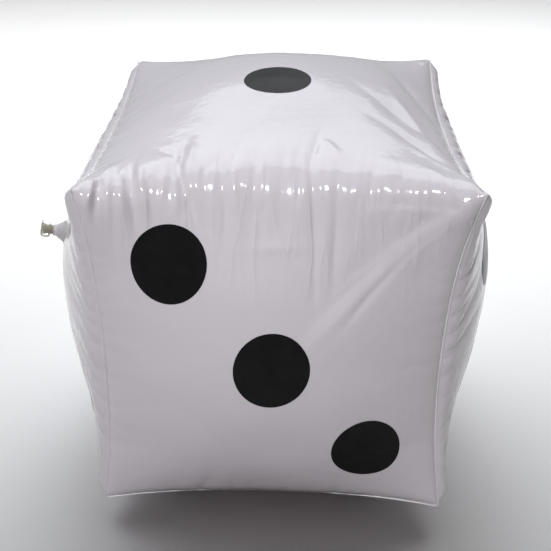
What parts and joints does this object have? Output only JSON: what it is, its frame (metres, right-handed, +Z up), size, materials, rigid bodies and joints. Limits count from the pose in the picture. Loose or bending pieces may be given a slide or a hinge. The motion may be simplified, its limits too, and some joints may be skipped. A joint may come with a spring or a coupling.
{
  "type": "giant yard dice",
  "caption": "Inflatable lawn-game die of glossy white film with welded seams, printed black pips and an oral inflation valve in one side.",
  "frame": {"origin": "middle of the flat patch that the die rests on", "axes": "+Z up, +X to the right of the face with three pips, which looks along -Y; the valve is on the -X side"},
  "size_m": [0.6508, 0.5876, 0.589],
  "materials": {
    "film": "glossy white soft vinyl film",
    "weld": "welded double film, slightly see-through",
    "ink": "satin black print",
    "clear_vinyl": "cloudy soft vinyl",
    "valve_vinyl": "cloudy yellowish soft vinyl"
  },
  "bodies": {
    "envelope": {"wrap_front_top": "film", "wrap_back_bottom": "film", "side_panel_left": "film", "side_panel_right": "film", "weld_left_loop": "weld", "weld_right_loop": "weld", "weld_top_back": "weld", "weld_bottom_front": "weld", "pip_front_three_1": "ink", "pip_front_three_2": "ink", "pip_front_three_3": "ink", "pip_top_one_1": "ink", "pip_back_four_1": "ink", "pip_back_four_2": "ink", "pip_back_four_3": "ink", "pip_back_four_4": "ink", "pip_bottom_six_1": "ink", "pip_bottom_six_2": "ink", "pip_bottom_six_3": "ink", "pip_bottom_six_4": "ink", "pip_bottom_six_5": "ink", "pip_bottom_six_6": "ink", "pip_left_two_1": "ink", "pip_left_two_2": "ink", "pip_right_five_1": "ink", "pip_right_five_2": "ink", "pip_right_five_3": "ink", "pip_right_five_4": "ink", "pip_right_five_5": "ink", "valve_flange": "clear_vinyl", "valve_cone": "clear_vinyl"},
    "stem": {"valve_stem": "valve_vinyl", "valve_strap": "valve_vinyl"},
    "stopper": {"stopper_plug": "valve_vinyl"},
    "flap": {"check_flap": "valve_vinyl"}
  },
  "joints": [
    {"name": "valve_push", "type": "slide", "parent": "envelope", "child": "stem", "axis": [0.9645, 0.1492, -0.2178], "range_m": [0, 0.016], "deforming": ["valve_cone"]},
    {"name": "plug_pull", "type": "slide", "parent": "stem", "child": "stopper", "axis": [-0.9645, -0.1492, 0.2178], "range_m": [0, 0.014], "deforming": ["valve_strap"]},
    {"name": "flap_swing", "type": "hinge", "parent": "stem", "child": "flap", "pos_m": [-0.31139, -0.07268, 0.3927], "axis": [0.1529, -0.9882, 0], "range_deg": [0, 55], "stiffness_Nm_per_rad": 0.0001}
  ]
}
